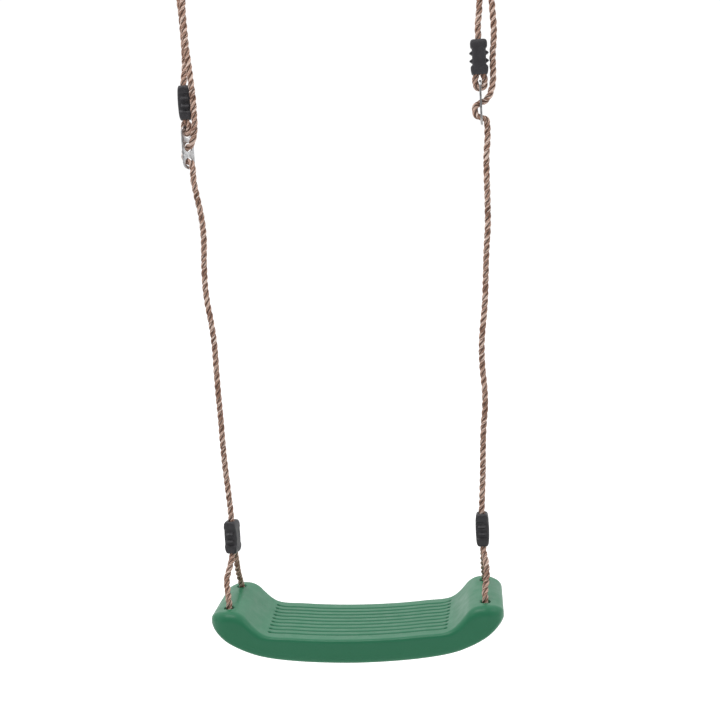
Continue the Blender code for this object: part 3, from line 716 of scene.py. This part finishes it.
def tube_cutter(name, route, radius):
    curve = bpy.data.curves.new(name, "CURVE")
    curve.dimensions = "3D"
    curve.bevel_depth = radius
    curve.bevel_resolution = 8
    curve.use_fill_caps = True
    line = curve.splines.new("POLY")
    line.points.add(len(route) - 1)
    for point, place in zip(line.points, route):
        point.co = (*place, 1.0)
    source = bpy.data.objects.new(name, curve)
    bpy.context.scene.collection.objects.link(source)
    made = bpy.data.objects.new(name, flat_mesh(source))
    bpy.context.scene.collection.objects.link(made)
    bpy.data.objects.remove(source)
    return made


def flat_mesh(source):
    """The evaluated shape of an object as a new welded mesh."""
    bpy.context.view_layer.update()
    graph = bpy.context.evaluated_depsgraph_get()
    mesh = bpy.data.meshes.new_from_object(source.evaluated_get(graph))
    shape = bmesh.new()
    shape.from_mesh(mesh)
    bmesh.ops.remove_doubles(shape, verts=shape.verts, dist=1e-6)
    shape.to_mesh(mesh)
    shape.free()
    return mesh


def combine(target, cutter, operation):
    """Applies one Boolean to the target's mesh and removes the cutter."""
    step = target.modifiers.new("cut", "BOOLEAN")
    step.operation = operation
    step.solver = "EXACT"
    step.object = cutter
    bpy.context.view_layer.update()
    graph = bpy.context.evaluated_depsgraph_get()
    mesh = bpy.data.meshes.new_from_object(target.evaluated_get(graph))
    target.modifiers.clear()
    target.data = mesh
    bpy.data.objects.remove(cutter)


HOLE_PROFILE = (  # height under the seat's top at the hole, radius
    (-0.0300, HOLE_RADIUS),
    (-0.0055, HOLE_RADIUS),
    (-0.0040, 0.0069),
    (-0.0030, 0.0071),
    (-0.0021, 0.0074),
    (-0.0014, 0.0078),
    (-0.0008, 0.0083),
    (-0.0003, 0.0090),
    (0.0, 0.0097),
    (0.0002, 0.0106),
    (0.0020, 0.0150),
)


STRAND_POINTS = 8  # route points of a bridle above the seat, at each end
CHANNEL_STEPS = 5
BLOW_HOLE_PROFILE = (  # height, radius
    (-0.060, 0.004),
    (-0.0372, 0.004),
    (-0.0364, 0.0042),
    (-0.0330, 0.0036),
    (-0.0290, 0.0036),
)


def add_seat(surface):
    seat = add_piece("seat_moulding", seat_mesh(), surface)
    top = float(np.interp(HOLE_X, *TOP_CURVE))
    profile = [(top + height, radius) for height, radius in HOLE_PROFILE]
    for side in SIDES:
        x = math.copysign(HOLE_X, LOWER_CLAMP_X[side])
        route = smooth_route(bridle_points(side)[STRAND_POINTS:-STRAND_POINTS], CHANNEL_STEPS)
        channel = tube_cutter("channel", [p - Vector((0.0, 0.0, SEAT_TOP_Z)) for p in route], CHANNEL_RADIUS)
        for y in (-HOLE_Y, HOLE_Y):
            combine(channel, turned_cutter("hole", x, y, profile), "UNION")
        combine(seat, channel, "DIFFERENCE")
    combine(seat, turned_cutter("blow_hole", 0.0, 0.0, BLOW_HOLE_PROFILE), "DIFFERENCE")
    seat.data.transform(Matrix.Translation((0.0, 0.0, SEAT_TOP_Z)))
    seat.data.materials.clear()
    seat.data.materials.append(surface)
    seat.data.shade_smooth()
    seat.data.set_sharp_from_angle(angle=math.radians(42.0))
    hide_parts("seat_shell")
    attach(seat, "seat")


# ---------------------------------------------------------------- clamps
CLAMP_FRONT = (  # height, half width without the ribs
    (-0.0245, 0.0104),
    (-0.0240, 0.0111),
    (-0.0225, 0.0117),
    (-0.0195, 0.0123),
    (-0.0160, 0.0126),
    (-0.0138, 0.0125),
    (-0.0126, 0.0118),
    (-0.0116, 0.0105),
    (-0.0106, 0.0100),
    (-0.0090, 0.0099),
    (0.0, 0.0099),
    (0.0104, 0.0099),
    (0.0118, 0.0101),
    (0.0130, 0.0112),
    (0.0142, 0.0120),
    (0.0185, 0.0122),
    (0.0210, 0.0119),
    (0.0228, 0.0112),
    (0.0239, 0.0103),
    (0.0245, 0.0092),
)
RIB_HEIGHTS = (-0.0055, 0.0055)
RIB_REACH = 0.0141
RIB_HALF_THICKNESS = 0.0032
RIB_HALF_DEPTH = 0.0050
RIB_SIDE_EASE = 0.0008
CLAMP_SIDES = 120
CLAMP_RINGS = 99
CLAMP_CORNER = 0.0034
CLAMP_HALF_DEPTH = 0.0100
CLAMP_BULGE = 0.0012
CLAMP_END_ROUND = 0.0018
CLAMP_SEAM_WIDTH = 0.0007
CLAMP_SEAM_DEPTH = 0.00035
CLAMP_HOLE_RADIUS = 0.0052


def rounded_reach(angle, half_x, half_y, corner):
    """Distance from the middle to a rounded rectangle's edge in one direction."""
    cosine = abs(math.cos(angle))
    sine = abs(math.sin(angle))
    inner_x = half_x - corner
    inner_y = half_y - corner
    if cosine > 1e-9 and half_x * sine / cosine <= inner_y:
        return half_x / cosine
    if sine > 1e-9 and half_y * cosine / sine <= inner_x:
        return half_y / sine
    along = inner_x * cosine + inner_y * sine
    gap = inner_x**2 + inner_y**2 - corner**2
    return along + math.sqrt(max(0.0, along * along - gap))


def rib_rise(height, off, width):
    """How far the pointed ribs lift the clamp's surface, at a height and a distance off the seam."""
    nearest = min(abs(height - middle) for middle in RIB_HEIGHTS)
    share = max(0.0, 1.0 - nearest / RIB_HALF_THICKNESS)
    side = 1.0 - ease(off, RIB_HALF_DEPTH - RIB_SIDE_EASE, RIB_HALF_DEPTH + RIB_SIDE_EASE)
    return (RIB_REACH - width) * (1.0 - (1.0 - share) ** 1.4) * side * (share > 0.0)


def clamp_mesh():
    """A two-part rope clamp: ribbed sides, barrel front, one rope hole on top and a double one below."""
    outline = np.array(CLAMP_FRONT)
    heights = np.linspace(-CLAMP_HALF_HEIGHT, CLAMP_HALF_HEIGHT, CLAMP_RINGS)
    profile = [Vector((float(np.interp(z, outline[:, 0], outline[:, 1])), float(z))) for z in heights]
    angles = [2 * math.pi * i / CLAMP_SIDES for i in range(CLAMP_SIDES)]
    rings = []

    def body_ring(width, height, shrink=0.0, level=None):
        share = abs(height) / CLAMP_HALF_HEIGHT
        depth = CLAMP_HALF_DEPTH - CLAMP_BULGE * share**2 - CLAMP_END_ROUND * share**10
        ring = []
        for angle in angles:
            reach = rounded_reach(angle, width, depth, CLAMP_CORNER) - shrink
            off = abs(reach * math.sin(angle))
            if off < RIB_HALF_DEPTH + RIB_SIDE_EASE:
                reach += rib_rise(height, off, width)
            if off < CLAMP_SEAM_WIDTH:
                reach -= CLAMP_SEAM_DEPTH
            ring.append((reach * math.cos(angle), reach * math.sin(angle), height if level is None else level))
        return ring

    def hole_ring(half_x, radius, height):
        return [
            (
                rounded_reach(angle, half_x + radius, radius, radius * 0.999) * math.cos(angle),
                rounded_reach(angle, half_x + radius, radius, radius * 0.999) * math.sin(angle),
                height,
            )
            for angle in angles
        ]

    def mixed(first, second, share):
        return [tuple(a + (b - a) * share for a, b in zip(p, q)) for p, q in zip(first, second)]

    for point in profile:
        rings.append(body_ring(point.x, point.y))
    lip = body_ring(profile[-1].x, CLAMP_HALF_HEIGHT, 0.0008, CLAMP_HALF_HEIGHT)
    top_hole = hole_ring(0.0, CLAMP_HOLE_RADIUS + 0.0006, CLAMP_HALF_HEIGHT - 0.0002)
    rings.extend([lip, mixed(lip, top_hole, 0.5), top_hole])
    rings.append(hole_ring(0.0, CLAMP_HOLE_RADIUS, CLAMP_HALF_HEIGHT - 0.0010))
    rings.append(hole_ring(0.0, CLAMP_HOLE_RADIUS, CLAMP_HALF_HEIGHT - 0.0060))
    bottom = body_ring(profile[0].x, -CLAMP_HALF_HEIGHT, 0.0008, -CLAMP_HALF_HEIGHT)
    offset = CLAMP_STRAND_OFFSET * 0.85
    low_hole = hole_ring(offset, CLAMP_HOLE_RADIUS + 0.0003, 0.0002 - CLAMP_HALF_HEIGHT)
    under = [
        hole_ring(offset, CLAMP_HOLE_RADIUS - 0.0004, 0.0060 - CLAMP_HALF_HEIGHT),
        hole_ring(offset, CLAMP_HOLE_RADIUS - 0.0002, 0.0010 - CLAMP_HALF_HEIGHT),
        low_hole,
        mixed(bottom, low_hole, 0.5),
        bottom,
    ]
    rings = [*under, *rings]
    points = [p for ring in rings for p in ring]
    faces = []
    for i in range(len(rings) - 1):
        for j in range(CLAMP_SIDES):
            k = (j + 1) % CLAMP_SIDES
            a = i * CLAMP_SIDES
            b = a + CLAMP_SIDES
            faces.append((a + j, a + k, b + k, b + j))
    faces.append(tuple(range(CLAMP_SIDES))[::-1])
    last = (len(rings) - 1) * CLAMP_SIDES
    faces.append(tuple(range(last, last + CLAMP_SIDES)))
    mesh = bpy.data.meshes.new("clamp")
    mesh.from_pydata(points, [], faces)
    mesh.shade_smooth()
    mesh.set_sharp_from_angle(angle=math.radians(50.0))
    return mesh


def add_clamps(surface):
    for side in SIDES:
        upper = add_piece(f"{side}_upper_clamp_body", clamp_mesh(), surface)
        upper.location = adjuster_place(side, (0.0, 0.0, UPPER_CLAMP_OFFSET))
        upper.rotation_euler = (0.0, 0.0, ADJUSTER_TURN[side] + UPPER_CLAMP_TWIST[side])
        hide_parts(f"{side}_upper_clamp")
        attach(upper, f"{side}_adjuster")
        lower = add_piece(f"{side}_lower_clamp_body", clamp_mesh(), surface)
        lower.location = (LOWER_CLAMP_X[side], 0.0, LOWER_CLAMP_HEIGHT + SEAT_TOP_Z)
        lower.rotation_euler = (0.0, 0.0, LOWER_CLAMP_TURN[side])
        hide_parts(f"{side}_lower_clamp")
        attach(lower, "lower_ropes")


# ---------------------------------------------------------------- plates and rings
PLATE_EDGE = 0.0006


def plate_mesh():
    """A flat bar with round ends, rounded edges and three rope holes, standing in the YZ plane."""
    straight = PLATE_HALF_LENGTH - PLATE_HALF_WIDTH
    turns = np.linspace(0.0, math.pi, 33)
    top = [(PLATE_HALF_WIDTH * math.cos(a), straight + PLATE_HALF_WIDTH * math.sin(a)) for a in turns]
    outline = top + [(-x, -y) for x, y in top]
    rounds = np.linspace(0.0, 2 * math.pi, 40, endpoint=False)
    holes = [
        [(PLATE_HOLE_RADIUS * math.cos(a), height + PLATE_HOLE_RADIUS * math.sin(a)) for a in rounds]
        for height in PLATE_HOLES
    ]
    curve = bpy.data.curves.new("plate", "CURVE")
    curve.dimensions = "2D"
    curve.fill_mode = "BOTH"
    curve.extrude = PLATE_THICKNESS / 2 - PLATE_EDGE
    curve.bevel_depth = PLATE_EDGE
    curve.bevel_resolution = 3
    curve.offset = -PLATE_EDGE
    for loop in (outline, *holes):
        line = curve.splines.new("POLY")
        line.points.add(len(loop) - 1)
        line.use_cyclic_u = True
        for point, place in zip(line.points, loop):
            point.co = (*place, 0.0, 1.0)
    source = bpy.data.objects.new("plate", curve)
    bpy.context.scene.collection.objects.link(source)
    mesh = flat_mesh(source)
    bpy.data.objects.remove(source)
    mesh.transform(Matrix.Rotation(math.pi / 2, 4, "Z") @ Matrix.Rotation(math.pi / 2, 4, "X"))
    mesh.shade_smooth()
    mesh.set_sharp_from_angle(angle=math.radians(35.0))
    return mesh


def add_plates(surface):
    for side in SIDES:
        plate = add_piece(f"{side}_plate_bar", plate_mesh(), surface)
        plate.location = adjuster_place(side, (0.0, 0.0, 0.0))
        plate.rotation_euler = (0.0, 0.0, ADJUSTER_TURN[side])
        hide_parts(f"{side}_adjuster_plate")
        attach(plate, f"{side}_adjuster")


def ring_mesh():
    """A round ring with a low weld bead at its top."""
    turns = 120
    sides = 24
    points = []
    for i in range(turns):
        angle = 2 * math.pi * i / turns
        bead = math.exp(-((min(angle, 2 * math.pi - angle) / 0.075) ** 2))
        bar = RING_BAR_RADIUS * (0.985 + 0.015 * bead * math.cos(angle * 60))
        for j in range(sides):
            tilt = 2 * math.pi * j / sides
            reach = RING_RADIUS + bar * math.cos(tilt)
            points.append((bar * math.sin(tilt), reach * math.sin(angle), reach * math.cos(angle)))
    faces = []
    for i in range(turns):
        a = i * sides
        b = ((i + 1) % turns) * sides
        for j in range(sides):
            k = (j + 1) % sides
            faces.append((a + j, a + k, b + k, b + j))
    mesh = bpy.data.meshes.new("ring")
    mesh.from_pydata(points, [], faces)
    mesh.shade_smooth()
    return mesh


def add_rings(surface):
    for side in SIDES:
        ring = add_piece(f"{side}_ring", ring_mesh(), surface)
        ring.location = (RING_X[side], 0.0, 0.0)
        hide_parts(f"{side}_hanging_ring")
        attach(ring, "hanging_rings")


# ---------------------------------------------------------------- materials


class Surface:
    """A material being built: short calls for nodes and their links."""

    def __init__(self, name, roughness, metallic=0.0):
        self.material = bpy.data.materials.new(name)
        self.material.use_nodes = True
        self.tree = self.material.node_tree
        self.shader = self.tree.nodes["Principled BSDF"]
        self.shader.inputs["Roughness"].default_value = roughness
        self.shader.inputs["Metallic"].default_value = metallic

    def node(self, kind, inputs=None, **settings):
        made = self.tree.nodes.new(kind)
        for key, value in settings.items():
            setattr(made, key, value)
        for key, value in (inputs or {}).items():
            self.feed(made.inputs[key], value)
        return made

    def feed(self, socket, value):
        if isinstance(value, bpy.types.NodeSocket):
            self.tree.links.new(value, socket)
        else:
            socket.default_value = value

    def math(self, operation, *values):
        return self.node("ShaderNodeMath", dict(enumerate(values)), operation=operation).outputs[0]

    def noise(self, vector, scale, detail=3.0, roughness=0.5):
        made = self.node(
            "ShaderNodeTexNoise",
            {"Vector": vector, "Scale": scale, "Detail": detail, "Roughness": roughness},
        )
        return made.outputs["Fac"]

    def spread(self, value, low, high, to_low, to_high):
        made = self.node(
            "ShaderNodeMapRange",
            {"Value": value, "From Min": low, "From Max": high, "To Min": to_low, "To Max": to_high},
            interpolation_type="SMOOTHSTEP",
        )
        return made.outputs[0]

    def ramp(self, value, stops):
        made = self.node("ShaderNodeValToRGB", {"Fac": value})
        steps = made.color_ramp.elements
        while len(steps) < len(stops):
            steps.new(0.5)
        for step, (place, colour) in zip(steps, stops):
            step.position = place
            step.color = (*colour, 1.0)
        return made.outputs["Color"]

    def mix(self, share, first, second, blend_type="MIX"):
        made = self.node("ShaderNodeMix", data_type="RGBA", blend_type=blend_type)
        self.feed(made.inputs[0], share)
        self.feed(made.inputs[6], first if isinstance(first, bpy.types.NodeSocket) else (*first, 1.0))
        self.feed(made.inputs[7], second if isinstance(second, bpy.types.NodeSocket) else (*second, 1.0))
        return made.outputs[2]

    def bump(self, height, distance, strength=1.0, normal=None):
        inputs = {"Height": height, "Distance": distance, "Strength": strength}
        if normal is not None:
            inputs["Normal"] = normal
        return self.node("ShaderNodeBump", inputs).outputs["Normal"]

    def place(self):
        return self.node("ShaderNodeTexCoord").outputs["Object"]

    def finish(self, colour=None, roughness=None, normal=None):
        for key, value in (("Base Color", colour), ("Roughness", roughness), ("Normal", normal)):
            if value is not None:
                self.feed(self.shader.inputs[key], value)
        return self.material


def seat_plastic():
    made = Surface("green_plastic_finish", 0.42)
    made.shader.inputs["Specular IOR Level"].default_value = 0.28
    place = made.place()
    cloud = made.noise(place, 9.0, 3.0)
    fine = made.noise(place, 900.0, 2.0)
    groove_shade_depth = made.node("ShaderNodeAttribute", attribute_name="groove_shade_depth").outputs["Fac"]
    base = made.mix(cloud, (0.028, 0.188, 0.094), (0.034, 0.212, 0.108))
    base = made.mix(made.spread(fine, 0.3, 0.7, 0.0, 0.18), base, (0.038, 0.228, 0.120))
    # Painted shade: the grooves and their end dimples turn darker green with their depth.
    base = made.mix(made.spread(groove_shade_depth, 0.15, 1.0, 0.0, 0.50), base, (0.012, 0.090, 0.044))
    rough = made.spread(made.noise(place, 60.0, 4.0), 0.25, 0.75, 0.33, 0.44)
    scuff = made.noise(place, 240.0, 3.0)
    normal = made.bump(fine, 0.00012, 0.35)
    normal = made.bump(scuff, 0.00030, 0.12, normal)
    return made.finish(base, rough, normal)


YARNS = 9.0
YARN_DRIFT = 0.39


def rope_fibre():
    """Brown yarns on each strand, twisted against the lay, with painted shade in the hollows between strands.
    """
    made = Surface("brown_rope_finish", 0.8)
    made.shader.inputs["Specular IOR Level"].default_value = 0.25
    made.shader.inputs["Sheen Weight"].default_value = 0.15
    made.shader.inputs["Sheen Roughness"].default_value = 0.5
    strand = made.node("ShaderNodeUVMap", uv_map="strand").outputs["UV"]
    split = made.node("ShaderNodeSeparateXYZ", {"Vector": strand})
    across = split.outputs["X"]
    along = split.outputs["Y"]
    turn = made.math("ADD", across, made.math("MULTIPLY", along, YARN_DRIFT))
    phase = made.math("MULTIPLY", turn, YARNS)
    crown = made.math("ABSOLUTE", made.math("SINE", made.math("MULTIPLY", phase, math.pi)))
    which = made.math("FLOOR", phase)
    tone = made.node("ShaderNodeTexWhiteNoise", {"W": which}, noise_dimensions="1D").outputs["Value"]
    slow = made.math("MULTIPLY", along, 0.35)
    fibre_place = made.node("ShaderNodeCombineXYZ", {"X": phase, "Y": slow, "Z": 0.0})
    fibre = made.noise(fibre_place.outputs[0], 4.0, 4.0, 0.6)
    patch_place = made.node("ShaderNodeCombineXYZ", {"X": across, "Y": along, "Z": 0.0})
    patch = made.noise(patch_place.outputs[0], 1.3, 2.0)
    mixed = made.math("ADD", made.math("MULTIPLY", tone, 0.35), made.math("MULTIPLY", fibre, 0.45))
    mixed = made.math("ADD", mixed, made.math("MULTIPLY", patch, 0.20))
    colour = made.ramp(
        mixed,
        (
            (0.26, (0.125, 0.054, 0.033)),
            (0.42, (0.380, 0.212, 0.150)),
            (0.55, (0.700, 0.470, 0.370)),
            (0.70, (0.970, 0.810, 0.720)),
        ),
    )
    # Painted shade: each strand darkens away from its outward crown, towards where it meets the other strands.
    inward = made.math("ABSOLUTE", made.math("SUBTRACT", across, 0.5))
    hollow_shade = made.spread(inward, 0.10, 0.30, 0.0, 0.85)
    colour = made.mix(hollow_shade, colour, (0.085, 0.045, 0.030))
    normal = made.bump(crown, 0.00028, 0.7)
    normal = made.bump(fibre, 0.00022, 0.5, normal)
    return made.finish(colour, None, normal)


def clamp_plastic():
    made = Surface("black_plastic_finish", 0.5)
    made.shader.inputs["Specular IOR Level"].default_value = 0.4
    place = made.place()
    grain = made.noise(place, 1100.0, 3.0)
    cloud = made.noise(place, 90.0, 3.0)
    base = made.mix(cloud, (0.032, 0.030, 0.033), (0.052, 0.050, 0.057))
    base = made.mix(made.spread(grain, 0.55, 0.75, 0.0, 0.45), base, (0.115, 0.113, 0.124))
    rough = made.spread(cloud, 0.3, 0.7, 0.42, 0.60)
    normal = made.bump(grain, 0.00025, 0.45)
    normal = made.bump(cloud, 0.00040, 0.25, normal)
    return made.finish(base, rough, normal)


def steel():
    made = Surface("galvanised_steel_finish", 0.35, 1.0)
    place = made.place()
    flakes = made.node("ShaderNodeTexVoronoi", {"Vector": place, "Scale": 420.0}, feature="F1")
    tone = made.node("ShaderNodeSeparateColor", {"Color": flakes.outputs["Color"]}).outputs[0]
    stain = made.noise(place, 160.0, 4.0)
    base = made.mix(tone, (0.46, 0.46, 0.47), (0.66, 0.66, 0.67))
    base = made.mix(made.spread(stain, 0.42, 0.66, 0.0, 0.55), base, (0.30, 0.30, 0.29))
    rough = made.spread(made.math("ADD", made.math("MULTIPLY", tone, 0.4), stain), 0.3, 1.1, 0.26, 0.46)
    normal = made.bump(stain, 0.00020, 0.25)
    return made.finish(base, rough, normal)


# ---------------------------------------------------------------- stage and light
FLOOR_Z = -1.60
FLOOR_REACH = 30.0
FLOOR_GLOW_FRONT = 0.13
FLOOR_GLOW_BACK = 0.60
FLOOR_GLOW_START = 0.1
FLOOR_GLOW_END = 0.95
BACKDROP_START = -0.9
BACKDROP_END = 0.5
BACKDROP_FRONT = 0.13
BACKDROP_BACK = 1.06
LIGHT_TARGET_HEIGHT = -1.0
KEY_PLACE = (-0.5, -0.7, 1.4)
KEY_SIZE = (1.4, 1.0)
KEY_POWER = 25.0
EDGE_PLACE = (1.66, -0.22, 0.28)
EDGE_SIZE = (0.3, 0.3)
EDGE_POWER = 3.0


def add_stage():
    mesh = bpy.data.meshes.new("floor")
    reach = FLOOR_REACH
    mesh.from_pydata(
        [
            (-reach, -reach, FLOOR_Z),
            (reach, -reach, FLOOR_Z),
            (reach, reach, FLOOR_Z),
            (-reach, reach, FLOOR_Z),
        ],
        [],
        [(0, 1, 2, 3)],
    )
    floor = bpy.data.objects.new("floor", mesh)
    bpy.context.scene.collection.objects.link(floor)
    made = Surface("floor_finish_and_glow", 0.9)
    made.shader.inputs["Specular IOR Level"].default_value = 0.1
    # Painted light: the floor glows white, weakly at the front and more strongly towards the back.
    made.shader.inputs["Emission Color"].default_value = (1.0, 1.0, 1.0, 1.0)
    place = made.place()
    depth = made.node("ShaderNodeSeparateXYZ", {"Vector": place}).outputs["Y"]
    glow = made.spread(depth, FLOOR_GLOW_START, FLOOR_GLOW_END, FLOOR_GLOW_FRONT, FLOOR_GLOW_BACK)
    made.feed(made.shader.inputs["Emission Strength"], glow)
    speck = made.noise(place, 40.0, 2.0)
    mesh.materials.append(made.finish(made.mix(speck, (0.86, 0.86, 0.86), (0.90, 0.90, 0.90))))


def add_area(name, place, target, size, power, colour=(1.0, 1.0, 1.0)):
    data = bpy.data.lights.new(name, "AREA")
    data.shape = "RECTANGLE"
    data.size = size[0]
    data.size_y = size[1]
    data.energy = power
    data.color = colour
    lamp = bpy.data.objects.new(name, data)
    bpy.context.scene.collection.objects.link(lamp)
    lamp.location = place
    lamp.rotation_mode = "QUATERNION"
    lamp.rotation_quaternion = (Vector(target) - Vector(place)).to_track_quat("-Z", "Y")


def add_light():
    world = bpy.data.worlds.new("studio")
    bpy.context.scene.world = world
    world.use_nodes = True
    tree = world.node_tree
    shade = tree.nodes["Background"]
    shade.inputs["Strength"].default_value = 1.0
    where = tree.nodes.new("ShaderNodeTexCoord")
    split = tree.nodes.new("ShaderNodeSeparateXYZ")
    tree.links.new(where.outputs["Generated"], split.inputs[0])
    span = tree.nodes.new("ShaderNodeMapRange")
    span.interpolation_type = "SMOOTHSTEP"
    span.inputs["From Min"].default_value = BACKDROP_START
    span.inputs["From Max"].default_value = BACKDROP_END
    span.inputs["To Min"].default_value = BACKDROP_FRONT
    span.inputs["To Max"].default_value = BACKDROP_BACK
    tree.links.new(split.outputs["Y"], span.inputs["Value"])
    tree.links.new(span.outputs[0], shade.inputs["Color"])
    add_area("key", KEY_PLACE, (0.0, 0.0, LIGHT_TARGET_HEIGHT), KEY_SIZE, KEY_POWER)
    add_area("edge", EDGE_PLACE, (0.1, 0.0, LIGHT_TARGET_HEIGHT), EDGE_SIZE, EDGE_POWER)


# ---------------------------------------------------------------- all of it
add_camera()
bpy.context.scene.view_settings.view_transform = "Standard"
rope_surface = rope_fibre()
add_ropes(rope_surface)
add_seat(seat_plastic())
add_clamps(clamp_plastic())
metal = steel()
add_plates(metal)
add_rings(metal)
add_stage()
add_light()
